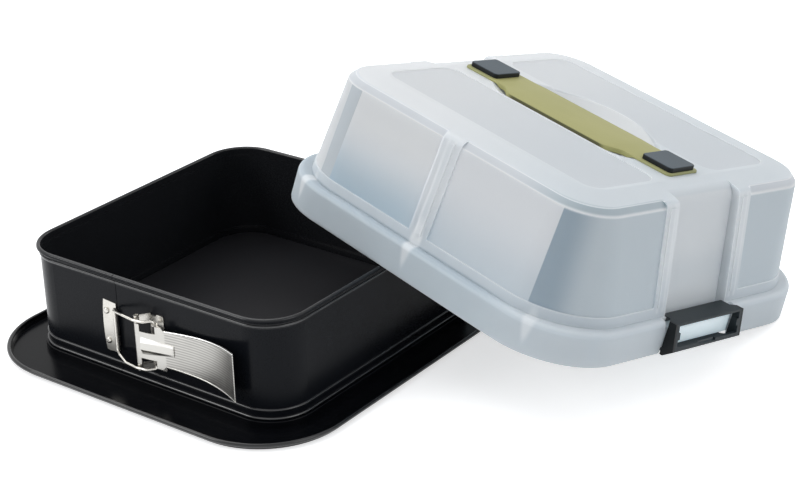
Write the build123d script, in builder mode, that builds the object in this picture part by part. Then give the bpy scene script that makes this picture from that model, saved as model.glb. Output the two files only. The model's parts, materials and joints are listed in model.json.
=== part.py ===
from build123d import *
from math import asin, cos, hypot, radians, sin
import os

# Square springform tin on a tray base, with a lift-off carrying hood that has a strap
# handle and two side clips. The hood is set down beside the tin and leans on its rim.
# Frame: millimetres, +Z up, origin under the middle of the tray, +X along the clasp wall,
# -Y out through the clasp wall.

# ---- driving dimensions -------------------------------------------------------------

# springform ring
ring_inside = 240.0
ring_sheet = 0.8
ring_corner_radius = 30.0
ring_height = 84.0
ring_shift = 7.6            # ring sits behind the middle of the tray to leave clasp room
rim_roll_radius = 1.7
stiff_bead_radius = 0.9
upper_bead_drop = 6.5       # below the ring's top
lower_bead_height = 13.4    # above the tray's foot
ring_hem_radius = 1.2
split_gap = 0.5
split_offset = 27.0         # from the middle of the clasp wall, towards -X

# tray base
tray_width = 299.8
tray_corner_radius = 66.0
tray_sheet = 0.8
tray_rim_height = 6.0
tray_roll_radius = 1.6
tray_rim_slope = 2.4        # width of the sloped wall below the rolled edge
seat_height = 5.9           # the ring stands on this step
seat_overhang = 2.9         # step shows outside the ring's wall
platform_height = 8.4
base_clearance = 0.4        # between the ring's inner face and the raised platform
seat_clearance = 0.05

# clasp on the -Y wall
clasp_height = 41.1         # middle of the clasp above the tray's foot
plate_sheet = 0.8
catch_plate_length = 12.0
catch_plate_height = 41.0
catch_plate_bulge = 1.7
catch_hook_height = 29.2
hook_gap = 0.7              # free room round the wire in the hook
hook_lift = 30.0            # degrees past level that the hook wraps the wire
rivet_radius = 1.5
rivet_head_radius = 2.5
rivet_head_height = 1.5
rivet_clearance = 0.05
catch_rivet_pitch = 23.7
bracket_fold = 5.4          # where the bracket leaves the wall, from the middle of the wall
bracket_end = 18.1
bracket_height = 40.4
bracket_tab_height = 43.6
bracket_tab_length = 7.0
bracket_rivet_pitch = 14.0
bracket_rivet_inset = 5.5   # from the bracket's end
knuckle_start = 16.2        # bracket's knuckles, from the middle of the clasp
knuckle_end = 21.6
pivot_along = -0.5          # lever pivot, from the middle of the wall
pivot_out = 8.3             # lever pivot, off the wall
pivot_pin_radius = 1.2
pin_fit = 0.05
pin_recess = 0.4            # the pin ends inside the bracket's knuckles
lever_sheet = 0.8
lever_width_barrel = 31.6
lever_width_waist = 20.8
lever_width_shoulder = 32.8
lever_width_neck = 28.8
lever_width_tip = 38.0
lever_waist_start = 3.0     # notches in both edges from here
lever_waist_end = 16.0      # to here
lever_shoulder_end = 21.0
lever_tip_along = 91.0
lever_tip_out = 11.6
lever_low_out = 3.4         # closest the lever comes to the wall
lever_low_along = 48.0
lever_knee_drop = 1.6       # from the pivot's end of the sheet to above the wire's pivot
lever_rib_start = 4.6
lever_rib_end = 31.0
lever_rib_width = 12.6      # at its blunt end
lever_rib_width_end = 8.0
lever_rib_flat = 5.6        # flat along the top of the rib
lever_rib_rise = 2.0        # at its blunt end, above the middle of the sheet
cheek_radius = 2.3
wire_radius = 1.1
wire_pivot_along = 13.0
wire_pivot_out = 4.6
wire_bend_radius = 2.4
wire_side_gap = 1.4         # between the lever's shoulder and the wire's legs
wire_hook_inset = 2.0       # the loop is narrower where it lies in the hook
wire_crest_gap = 0.4        # where the bowed legs pass over the knuckles

# carrying hood, in its own upright frame with z = 0 at its lower edge
hood_width = 305.2
hood_wall = 2.0
hood_corner_radius = 59.0
skirt_height = 24.6
skirt_draft = 0.7           # inward lean of the skirt over its height
skirt_ledge = 6.9           # width of the ledge above the skirt
foot_corner_radius = 58.0   # where the tapered walls start from the ledge
hood_height = 109.5
crown_rise = 4.5            # from the shoulder to the crown
shoulder_width_x = 257.0
shoulder_width_y = 265.4
shoulder_corner_radius = 33.0
crown_width_x = 212.0
crown_width_y = 216.0
crown_corner_radius = 22.0
ledge_round = 4.0
shoulder_round = 6.0
panel_depth = 0.8
panel_low = 32.0
panel_top_drop = 8.5        # from the crown down to the panels' upper edge
panel_band = 6.0            # sloped band from there up through the shoulder
panel_low_corner = 2.0
panel_rib_corner = 3.0      # of the band, beside the middle rib
panel_bay_corner = 5.5      # of the band, beside the clip bay
rib_bead_width = 6.0        # raised bead along the ribs between the panels
rib_bead_rise = 0.6
mid_rib_width = 18.0
bay_border = 14.0           # plain wall between the clip bay and the corner panel
bay_width = 72.0
bay_foot_width = 276.0      # distance between the two bay floors at the ledge
bay_head_width = 245.8      # and where they start to bend over into the crown
bay_head_drop = 10.5
bay_bend = 9.0              # how far the bend runs in under the crown
field_depth = 0.6
field_width = 206.0
field_near = 31.0           # fields start this far either side of the middle
field_far = 103.0
field_corner = 12.0
well_length = 150.0
well_near = 30.0            # straight edge on the -Y side
well_straight = 96.0
well_far = 51.0             # middle of the bowed edge on the +Y side
well_end = 4.0              # where the two edges meet, from the middle
well_depth = 9.0
well_floor_share = 0.7      # size of the well's floor against its mouth
stop_rib_low = 5.4          # lower end of the ribs that stand on the tray's rim
stop_rib_depth = 5.0
stop_rib_corner_depth = 7.5
stop_rib_width = 7.0
stop_rib_turn = 21.0        # degrees round each corner from the straight sides

# strap handle
strap_length = 206.0
strap_width = 35.6
strap_thickness = 1.6
strap_corner = 4.0
grip_width = 50.0
grip_length = 80.0
grip_taper = 11.0
grip_lip_width = 2.0        # lips turned down along the grip's edges
grip_lip_drop = 1.4
cap_length = 27.5
cap_width = 29.2
cap_thickness = 3.6
cap_corner = 3.0
cap_inset = 3.0             # strap shows this far beyond each cap
stud_radius = 2.8
stud_pitch = 14.0
stud_head_radius = 3.8
stud_head_height = 1.4
stud_clearance = 0.1
slot_travel = 6.0           # room for the strap's ends to slide in when it bows up

# side clips
clip_width = 81.0
clip_back_width = 70.8
clip_flare_x = 149.8        # the top plate is narrow up to here, to pass between the walls
clip_sheet = 2.4
clip_pivot_x = 143.0
clip_pivot_z = 22.0
clip_barrel_radius = 2.8
clip_trunnion_radius = 1.6
clip_trunnion_length = 5.0
clip_front_top_x = 159.0
clip_front_top_z = 25.6
clip_front_foot_x = 162.8
clip_front_foot_z = 5.6
clip_heel_x = 155.4
clip_toe_low = -0.3
clip_toe_reach = 2.4        # how far the toe reaches in past the skirt's inner face
clip_toe_thickness = 2.0
clip_gap = 0.4
clip_swing_gap = 0.6        # under the barrel and beside the frame
clip_window_width = 72.0
clip_window_low = 8.6
clip_window_high = 24.1
clip_tooth_width = 2.0      # small teeth on the window's ends
clip_tooth_height = 5.0
clip_notch_width = 20.0
clip_notch_drop = 1.6

# leaning rest pose of the hood: where its lower edge crosses the tin's rim
lean_along_right_rim = -4.6
lean_along_back_rim = 9.5
lean_turn = 38.9            # degrees, direction of the contact line in the hood's plane
lean_gap = 0.3

# ---- values worked out from them ----------------------------------------------------

ring_half = ring_inside / 2 + ring_sheet          # outer face of the ring's wall
ring_outer_corner = ring_corner_radius + ring_sheet
tray_half = tray_width / 2
hood_half = hood_width / 2
ring_origin = (0, ring_shift, 0)
wall_y = ring_shift - ring_half                   # clasp wall's outer face
split_u = -split_offset
catch_u = split_u - 1.0                           # wire's leg when the clasp is shut
catch_w = plate_sheet + hook_gap + wire_radius    # its distance off the wall
leg_z = lever_width_shoulder / 2 + wire_side_gap + wire_radius
shoulder_height = hood_height - crown_rise
panel_high = hood_height - panel_top_drop
bay_head_height = hood_height - bay_head_drop
strap_high = hood_height + strap_thickness
clip_toe_x = hood_half - hood_wall - clip_toe_reach
clip_seat_x = clip_pivot_x + clip_barrel_radius + clip_swing_gap

# (u, w) plane: along the clasp wall and out of it; extrusions run up and down
clasp_section = Plane(origin=(0, wall_y, clasp_height), x_dir=(1, 0, 0), z_dir=(0, 0, -1))
# (u, z) plane lying on the clasp wall; extrusions run out of the wall
clasp_face = Plane(origin=(0, wall_y, clasp_height), x_dir=(1, 0, 0), z_dir=(0, -1, 0))

os.makedirs("parts", exist_ok=True)


def square_path(half, corner, height, shift=0.0):
    """Closed rounded-square wire."""
    with BuildSketch(Plane.XY.offset(height)) as outline:
        with Locations((0, shift)):
            RectangleRounded(2 * half, 2 * half, corner)
    return outline.face().outer_wire()


def section_plane(path):
    """Plane across a path's start: local x is up, local y is out of the square."""
    return Plane(origin=path @ 0, x_dir=(0, 0, 1), z_dir=path % 0)


def lean_location():
    """Where the hood stands when it rests on the floor and on two sides of the rim."""
    rim = ring_half + rim_roll_radius / 2
    rest_height = ring_height + lean_gap
    inner = hood_half - hood_wall
    first = Vector(rim, ring_shift + lean_along_right_rim, rest_height)
    second = Vector(lean_along_back_rim, ring_shift + rim, rest_height)
    span = (second - first).length
    level = (second - first).normalized()
    turn = radians(lean_turn)
    contact = Vector(span * cos(turn) - inner, -inner)
    along = Vector(-cos(turn), sin(turn))
    across = Vector(sin(turn), cos(turn))
    corner = Vector(hood_half - hood_corner_radius, hood_half - hood_corner_radius)
    reach = (corner - contact).dot(across) + hood_corner_radius
    tilt = asin((rest_height - lean_gap) / reach)
    downhill = Vector(level.Y, -level.X) * cos(tilt) - Vector(0, 0, sin(tilt))
    x_axis = level * along.X + downhill * across.X
    y_axis = level * along.Y + downhill * across.Y
    origin = first - x_axis * contact.X - y_axis * contact.Y
    return Plane(origin=origin, x_dir=x_axis, z_dir=x_axis.cross(y_axis)).location


lean = lean_location()

# ---- tray base ----------------------------------------------------------------------

tray_path = square_path(tray_half - tray_roll_radius, tray_corner_radius - tray_roll_radius, 0)
flange_half = tray_half - tray_roll_radius - tray_rim_slope
step_half = ring_half + seat_overhang
platform_half = ring_inside / 2 - base_clearance

with BuildPart() as base_tray:
    with BuildSketch():
        RectangleRounded(2 * flange_half, 2 * flange_half,
                         tray_corner_radius - tray_roll_radius - tray_rim_slope)
    extrude(amount=tray_sheet)
    for half, corner, top in (
        (step_half, ring_outer_corner + seat_overhang, seat_height),
        (platform_half, ring_corner_radius - base_clearance, platform_height),
    ):
        with BuildSketch():
            with Locations((0, ring_shift)):
                RectangleRounded(2 * half, 2 * half, corner)
        extrude(amount=top)
        top_edges = base_tray.edges().group_by(Axis.Z)[-1]
        fillet(top_edges, 0.9 * tray_sheet)
    for half, corner, top in (
        (step_half, ring_outer_corner + seat_overhang, seat_height),
        (platform_half, ring_corner_radius - base_clearance, platform_height),
    ):
        with BuildSketch():
            with Locations((0, ring_shift)):
                RectangleRounded(2 * (half - tray_sheet), 2 * (half - tray_sheet),
                                 corner - tray_sheet)
        extrude(amount=top - tray_sheet, mode=Mode.SUBTRACT)
    with BuildSketch(section_plane(tray_path)):
        with BuildLine():
            Polyline(
                (0, -tray_rim_slope - tray_sheet),
                (tray_rim_height - tray_roll_radius, -tray_sheet / 2),
                (tray_rim_height - tray_roll_radius, tray_sheet / 2),
                (0, -tray_rim_slope),
                close=True,
            )
        make_face()
        with Locations((tray_rim_height - tray_roll_radius, 0)):
            Circle(tray_roll_radius)
    sweep(path=tray_path)
base_tray.part.label = "base_tray"

# ---- springform ring ----------------------------------------------------------------

ring_low = seat_height + seat_clearance
ring_path = square_path(ring_half - ring_sheet / 2, ring_outer_corner - ring_sheet / 2, 0,
                        ring_shift)
clasp_rivets_z = (-catch_rivet_pitch / 2, catch_rivet_pitch / 2)
catch_rivet_u = catch_u - catch_plate_length + 2.5
bracket_rivet_u = bracket_end - bracket_rivet_inset

with BuildPart() as ring_wall:
    with BuildSketch(section_plane(ring_path)):
        with BuildLine():
            Polyline(
                (ring_low, -ring_sheet / 2),
                (ring_height - rim_roll_radius, -ring_sheet / 2),
                (ring_height - rim_roll_radius, ring_sheet / 2),
                (ring_low, ring_sheet / 2),
                close=True,
            )
        make_face()
        with Locations((ring_height - rim_roll_radius, rim_roll_radius - ring_sheet / 2)):
            Circle(rim_roll_radius)
        with Locations((ring_height - upper_bead_drop, 0), (lower_bead_height, 0)):
            Circle(ring_sheet / 2 + stiff_bead_radius)
        with Locations((ring_low + ring_hem_radius, ring_hem_radius - ring_sheet / 2)):
            Circle(ring_hem_radius)
        # the beads are pressed outwards only, so the inner face stays flat
        with Locations((ring_height / 2, -ring_sheet / 2 - stiff_bead_radius)):
            Rectangle(2 * ring_height, 2 * stiff_bead_radius, mode=Mode.SUBTRACT)
    sweep(path=ring_path)
    with Locations((split_u, wall_y, ring_height / 2)):
        Box(split_gap, 6 * ring_sheet + 4 * rim_roll_radius, 2 * ring_height, mode=Mode.SUBTRACT)
    with BuildSketch(clasp_face):
        with Locations(*[(catch_rivet_u, z) for z in clasp_rivets_z]):
            Circle(rivet_radius + rivet_clearance)
        with Locations(*[(bracket_rivet_u, z * bracket_rivet_pitch / 2) for z in (-1, 1)]):
            Circle(rivet_radius + rivet_clearance)
    extrude(amount=-2 * ring_sheet, mode=Mode.SUBTRACT)
ring_wall.part.label = "ring_wall"


# ---- clasp --------------------------------------------------------------------------

def rivets(u, pitch, name):
    """Two rivets through a plate and the wall: domed head outside, flat head inside."""
    with BuildPart() as group:
        for side in (-1, 1):
            spot = (u, side * pitch / 2)
            with BuildSketch(clasp_face.offset(-ring_sheet)):
                with Locations(spot):
                    Circle(rivet_radius)
            extrude(amount=ring_sheet + plate_sheet)
            with BuildSketch(clasp_face.offset(plate_sheet)):
                with Locations(spot):
                    Circle(rivet_head_radius)
            extrude(amount=rivet_head_height)
            dome = group.edges().group_by(SortBy.LENGTH)[-1].filter_by(
                lambda edge: edge.center().Y < wall_y - plate_sheet - rivet_head_height / 2)
            fillet(dome, 0.9 * rivet_head_height)
            with BuildSketch(clasp_face.offset(-ring_sheet)):
                with Locations(spot):
                    Circle(rivet_head_radius)
            extrude(amount=-rivet_head_height / 2)
    group.part.label = name
    return group


# plate that holds the hook, left of the split
with BuildPart() as catch_plate:
    with BuildSketch(clasp_face):
        with BuildLine():
            Line((catch_u - catch_plate_length, -catch_plate_height / 2),
                 (catch_u, -catch_plate_height / 2 + 1))
            Line((catch_u, -catch_plate_height / 2 + 1), (catch_u, catch_plate_height / 2 - 1))
            Line((catch_u, catch_plate_height / 2 - 1),
                 (catch_u - catch_plate_length, catch_plate_height / 2))
            ThreePointArc(
                (catch_u - catch_plate_length, catch_plate_height / 2),
                (catch_u - catch_plate_length - catch_plate_bulge, 0),
                (catch_u - catch_plate_length, -catch_plate_height / 2))
        make_face()
        with Locations(*[(catch_rivet_u, z) for z in clasp_rivets_z]):
            Circle(rivet_radius + rivet_clearance, mode=Mode.SUBTRACT)
    extrude(amount=plate_sheet)
    hook_inner = wire_radius + hook_gap
    with BuildSketch(clasp_section):
        with BuildLine():
            CenterArc((catch_u, catch_w), hook_inner, -90, 90 + hook_lift)
            CenterArc((catch_u, catch_w), hook_inner + plate_sheet, -90, 90 + hook_lift)
            Line((catch_u, catch_w - hook_inner), (catch_u, catch_w - hook_inner - plate_sheet))
            Line((catch_u + hook_inner * cos(radians(hook_lift)),
                  catch_w + hook_inner * sin(radians(hook_lift))),
                 (catch_u + (hook_inner + plate_sheet) * cos(radians(hook_lift)),
                  catch_w + (hook_inner + plate_sheet) * sin(radians(hook_lift))))
        make_face()
    extrude(amount=catch_hook_height / 2, both=True)
catch_plate.part.label = "catch_plate"

catch_plate_rivets = rivets(catch_rivet_u, catch_rivet_pitch, "catch_plate_rivets")

# bracket: its plate is riveted down and folds out to two knuckles round the lever's pin
barrel_bore = pivot_pin_radius + pin_fit
barrel_outer = barrel_bore + lever_sheet
knuckle_mid = (knuckle_start + knuckle_end) / 2
fold_span = hypot(bracket_fold - pivot_along, pivot_out)
fold_skew = ((plate_sheet / 2) * pivot_out / fold_span,
             (plate_sheet / 2) * (bracket_fold - pivot_along) / fold_span)
with BuildPart() as lever_bracket:
    with BuildSketch(clasp_face):
        with Locations(((bracket_fold + bracket_end) / 2, 0)):
            Rectangle(bracket_end - bracket_fold, bracket_height)
        with Locations((bracket_end - bracket_tab_length / 2, 0)):
            RectangleRounded(bracket_tab_length, bracket_tab_height, 1.5)
        with Locations(*[(bracket_rivet_u, z * bracket_rivet_pitch / 2) for z in (-1, 1)]):
            Circle(rivet_radius + rivet_clearance, mode=Mode.SUBTRACT)
    extrude(amount=plate_sheet)
    for side in (-1, 1):
        with BuildSketch(clasp_section.offset(-side * knuckle_mid)):
            with BuildLine():
                Polyline((bracket_fold + fold_skew[0], plate_sheet / 2 + fold_skew[1]),
                         (pivot_along + fold_skew[0], pivot_out + fold_skew[1]),
                         (pivot_along - fold_skew[0], pivot_out - fold_skew[1]),
                         (bracket_fold - fold_skew[0], plate_sheet / 2 - fold_skew[1]),
                         close=True)
            make_face()
            with Locations((pivot_along, pivot_out)):
                Circle(barrel_outer)
                Circle(barrel_bore, mode=Mode.SUBTRACT)
            with Locations((bracket_fold, plate_sheet / 2)):
                Circle(plate_sheet / 2)
        extrude(amount=(knuckle_end - knuckle_start) / 2, both=True)
lever_bracket.part.label = "lever_bracket"

lever_bracket_rivets = rivets(bracket_rivet_u, bracket_rivet_pitch, "lever_bracket_rivets")

with BuildPart() as lever_pivot_pin:
    with BuildSketch(clasp_section):
        with Locations((pivot_along, pivot_out)):
            Circle(pivot_pin_radius)
    extrude(amount=knuckle_end - pin_recess, both=True)
lever_pivot_pin.part.label = "lever_pivot_pin"

# the lever: rolled round its pin, dipping to the wall and curling out at the tip
sheet_start = (pivot_along, pivot_out + barrel_bore + lever_sheet / 2)
sheet_knee = (wire_pivot_along, sheet_start[1] - lever_knee_drop)
sheet_low = (lever_low_along, lever_low_out)
sheet_tip = (lever_tip_along, lever_tip_out)

# plan outline: barrel, notched waist, shoulders with the cheeks, then widening to the tip
lever_stations = (
    (pivot_along - barrel_outer - 1, lever_width_barrel),
    (lever_waist_start, lever_width_barrel),
    (lever_waist_start, lever_width_waist),
    (lever_waist_end, lever_width_waist),
    (lever_waist_end, lever_width_shoulder),
    (lever_shoulder_end, lever_width_shoulder),
    (lever_shoulder_end + 1.5, lever_width_neck),
    (lever_tip_along + 2, lever_width_tip),
)
with BuildPart() as lever_outline:
    with BuildSketch(clasp_face):
        with BuildLine():
            Polyline(*[(u, -width / 2) for u, width in lever_stations],
                     *[(u, width / 2) for u, width in reversed(lever_stations)], close=True)
        make_face()
    extrude(amount=2 * lever_tip_out)

# pressed rib: blunt towards the pivot, sinking back into the sheet along the lever
rib_fall = (sheet_start[1] - sheet_low[1]) / (lever_low_along - lever_rib_start)
rib_end_out = sheet_low[1] + (lever_low_along - lever_rib_end) * rib_fall
with BuildPart() as pressed_rib:
    for rib_u, rib_out, rib_wide, rib_flat, rib_rise in (
        (lever_rib_start, sheet_start[1], lever_rib_width, lever_rib_flat, lever_rib_rise),
        (lever_rib_end, rib_end_out, lever_rib_width_end, lever_rib_flat, 0.1),
    ):
        with BuildSketch(Plane.YZ.offset(rib_u)):
            with BuildLine():
                Polyline(*[(wall_y - rib_out - rise, clasp_height + z) for rise, z in (
                    (-lever_sheet, -rib_wide / 2), (0, -rib_wide / 2), (rib_rise, -rib_flat / 2),
                    (rib_rise, rib_flat / 2), (0, rib_wide / 2), (-lever_sheet, rib_wide / 2))],
                         close=True)
            make_face()
    loft(ruled=True)

with BuildPart() as clasp_lever:
    with BuildSketch(clasp_section):
        with BuildLine():
            hump = TangentArc(sheet_start, sheet_knee, tangent=(1, 0))
            dip = TangentArc(sheet_knee, sheet_low, tangent=hump % 1)
            TangentArc(sheet_low, sheet_tip, tangent=dip % 1)
            offset(amount=lever_sheet / 2)
        make_face()
        with Locations((pivot_along, pivot_out)):
            Circle(barrel_outer)
            Circle(barrel_bore, mode=Mode.SUBTRACT)
    extrude(amount=lever_width_tip / 2, both=True)
    add(lever_outline.part, mode=Mode.INTERSECT)
    add(pressed_rib.part)
    # folded cheeks that carry the wire's ends
    for side in (-1, 1):
        with BuildSketch(clasp_section.offset(-side * (lever_width_shoulder - lever_sheet) / 2)):
            with BuildLine():
                Polyline((lever_waist_end, sheet_knee[1] - lever_sheet / 2),
                         (lever_shoulder_end, sheet_knee[1] - 1.5 * lever_sheet),
                         (wire_pivot_along + cheek_radius, wire_pivot_out),
                         (wire_pivot_along - cheek_radius, wire_pivot_out), close=True)
            make_face()
            with Locations((wire_pivot_along, wire_pivot_out)):
                Circle(cheek_radius)
                Circle(wire_radius + pin_fit, mode=Mode.SUBTRACT)
        extrude(amount=lever_sheet / 2, both=True)
clasp_lever.part.label = "clasp_lever"

# the wire loop: from one cheek, bowed over the knuckle, round the hook and back
crest_out = pivot_out + barrel_outer + wire_crest_gap + wire_radius
wire_bow = (
    (wire_pivot_along, wire_pivot_out),
    (wire_pivot_along - 5.5, crest_out - 1.2),
    (pivot_along, crest_out),
    (pivot_along - 12, crest_out - 1.6),
    (catch_u + 6, catch_w + 4),
    (catch_u, catch_w),
)
stub_z = lever_width_shoulder / 2 - lever_sheet - 0.3
wire_points = [(wire_pivot_along, wire_pivot_out, -stub_z)]
wire_points += [(u, w, -leg_z) for u, w in wire_bow[:-2]]
wire_points += [(u, w, wire_hook_inset - leg_z) for u, w in wire_bow[-2:]]
wire_points += [(u, w, -z) for u, w, z in reversed(wire_points)]
with BuildPart() as wire_bail:
    with BuildLine() as wire_line:
        FilletPolyline(*[(u, wall_y - w, clasp_height + z) for u, w, z in wire_points],
                       radius=wire_bend_radius)
    with BuildSketch(Plane(origin=wire_line.wire() @ 0, z_dir=wire_line.wire() % 0)):
        Circle(wire_radius)
    sweep(path=wire_line.wire())
wire_bail.part.label = "wire_bail"


# ---- carrying hood ------------------------------------------------------------------

def frustum(low, high):
    """Tapered rounded block between two outlines (half x, half y, corner, height)."""
    with BuildPart() as form:
        for half_x, half_y, corner, height in (low, high):
            with BuildSketch(Plane.XY.offset(height)):
                RectangleRounded(2 * half_x, 2 * half_y, corner)
        loft(ruled=True)
    return form.part


def hood_levels(skin):
    """Outlines of the hood's walls, moved inwards and down by the given skin."""
    foot = hood_half - skirt_draft - skirt_ledge
    return {
        "edge": (hood_half - skin, hood_half - skin, hood_corner_radius - skin, 0),
        "ledge": (hood_half - skirt_draft - skin, hood_half - skirt_draft - skin,
                  hood_corner_radius - skirt_draft - skin, skirt_height - skin),
        "foot": (foot - skin, foot - skin, foot_corner_radius - skin, skirt_height - 2 * skin),
        "shoulder": (shoulder_width_x / 2 - skin, shoulder_width_y / 2 - skin,
                     shoulder_corner_radius - skin, shoulder_height - skin),
        "crown": (crown_width_x / 2, crown_width_y / 2, crown_corner_radius,
                  hood_height - skin),
    }


def hood_form(skin):
    """Closed form of the hood: skirt, tapered walls and the raised crown, edges rounded."""
    level = hood_levels(skin)
    with BuildPart() as form:
        add(frustum(level["edge"], level["ledge"]))
        fillet(form.edges().group_by(Axis.Z)[-1], ledge_round)
        add(frustum(level["foot"], level["shoulder"]))
        add(frustum(level["shoulder"], level["crown"]))
        fillet(form.edges().filter_by(
            lambda edge: abs(edge.center().Z - level["shoulder"][3]) < 0.01), shoulder_round)
    return form.part


def wall_level(skin, height):
    """Outline of the tapered walls at a height, moved inwards by the given skin."""
    foot = hood_levels(0)["foot"]
    shoulder = hood_levels(0)["shoulder"]
    share = (height - foot[3]) / (shoulder[3] - foot[3])
    low_half_x, low_half_y, low_corner = foot[:3]
    high_half_x, high_half_y, high_corner = shoulder[:3]
    return (low_half_x + share * (high_half_x - low_half_x) - skin,
            low_half_y + share * (high_half_y - low_half_y) - skin,
            low_corner + share * (high_corner - low_corner) - skin, height)


def bay_form(skin):
    """Both clip bays: wedges cut from the walls, with a seat through the ledge."""
    foot_x = bay_foot_width / 2 - skin
    head_x = bay_head_width / 2 - skin
    seat_z = clip_pivot_z - clip_barrel_radius - clip_swing_gap - skin
    beyond = hood_half + 9
    # the bend ends on the slope between shoulder and crown, or just above it
    slope = crown_rise / (shoulder_width_x / 2 - crown_width_x / 2)
    bend_x = head_x - bay_bend
    bend_z = hood_height - skin - slope * (bend_x - crown_width_x / 2) + 0.05
    with BuildPart() as bays:
        for side in (-1, 1):
            with BuildSketch(Plane.XZ):
                with BuildLine():
                    floor = Line((side * foot_x, seat_z), (side * head_x, bay_head_height))
                    bend = TangentArc(floor @ 1, (side * bend_x, bend_z), tangent=floor % 1)
                    Polyline(bend @ 1, (side * bend_x, hood_height + 1),
                             (side * beyond, hood_height + 1), (side * beyond, seat_z),
                             floor @ 0)
                make_face()
            extrude(amount=bay_width / 2 + skin, both=True)
            with BuildSketch(Plane.XZ):
                with BuildLine():
                    Polyline((side * (clip_seat_x - skin), seat_z),
                             (side * (clip_seat_x - skin), skirt_height + 0.5),
                             (side * beyond, skirt_height + 0.5),
                             (side * beyond, seat_z), close=True)
                make_face()
            extrude(amount=clip_width / 2 + 2 * clip_swing_gap + skin, both=True)
    return bays.part


def well_form(skin):
    """Dished finger well under the strap."""
    middle = (well_far - well_near) / 2
    with BuildPart() as well:
        for share, height in ((well_floor_share, hood_height - well_depth - skin),
                              (1, hood_height + 0.01)):
            near = middle - share * (well_near + middle) - skin
            far = middle + share * (well_far - middle) + skin
            end_y = middle + share * (well_end - middle)
            end_x = share * well_length / 2 + skin
            turn_x = share * well_straight / 2
            with BuildSketch(Plane.XY.offset(height)):
                with BuildLine():
                    Line((-turn_x, near), (turn_x, near))
                    TangentArc((turn_x, near), (end_x, end_y), tangent=(1, 0))
                    ThreePointArc((end_x, end_y), (0, far), (-end_x, end_y))
                    TangentArc((-turn_x, near), (-end_x, end_y), tangent=(-1, 0))
                make_face()
        loft()
    return well.part


panel_y = bay_width / 2 + bay_border
stud_x = strap_length / 2 - cap_inset - cap_length / 2
stud_spots = [(sx * stud_x, sy * stud_pitch / 2) for sx in (-1, 1) for sy in (-1, 1)]

# recesses of the four corner panels: what lies outside the panels' own walls and band
panel_head = wall_level(panel_depth, panel_high)
panel_crest = (panel_head[0] - panel_band, panel_head[1] - panel_band,
               panel_head[2] - panel_band, panel_high + panel_band)
with BuildPart() as panel_recess:
    for plane, start, high_corner, mode in (
        (Plane.XZ, mid_rib_width / 2, panel_rib_corner, Mode.ADD),
        (Plane.YZ, panel_y, panel_bay_corner, Mode.INTERSECT),
    ):
        with BuildSketch(plane) as window:
            with Locations(*[(side * (hood_half + start) / 2, (panel_low + panel_crest[3]) / 2)
                             for side in (-1, 1)]):
                Rectangle(hood_half - start, panel_crest[3] - panel_low)
            for corner, level in ((panel_low_corner, 0), (high_corner, -1)):
                fillet(window.vertices().filter_by(
                    lambda point: abs(abs(point.X) - start) < 0.1).group_by(Axis.Y)[level],
                    corner)
        extrude(amount=hood_half, both=True, mode=mode)
    add(frustum(wall_level(panel_depth, panel_low - 1), panel_head), mode=Mode.SUBTRACT)
    add(frustum(panel_head, panel_crest), mode=Mode.SUBTRACT)

# raised beads on the ribs: a thin skin over the walls, cut to strips
with BuildPart() as rib_beads:
    add(frustum(wall_level(-rib_bead_rise, panel_low), wall_level(-rib_bead_rise, panel_high)))
    with BuildSketch():
        Rectangle(rib_bead_width, 2 * hood_half)
        with Locations(*[(sx * hood_half / 2, sy * (bay_width + bay_border) / 2)
                         for sx in (-1, 1) for sy in (-1, 1)]):
            Rectangle(hood_half, rib_bead_width)
    extrude(amount=hood_height, mode=Mode.INTERSECT)

# the hollow inside the hood, one wall thickness within its outer form
with BuildPart() as hood_hollow:
    add(hood_form(hood_wall))
    add(bay_form(hood_wall), mode=Mode.SUBTRACT)
    add(well_form(hood_wall), mode=Mode.SUBTRACT)

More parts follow.
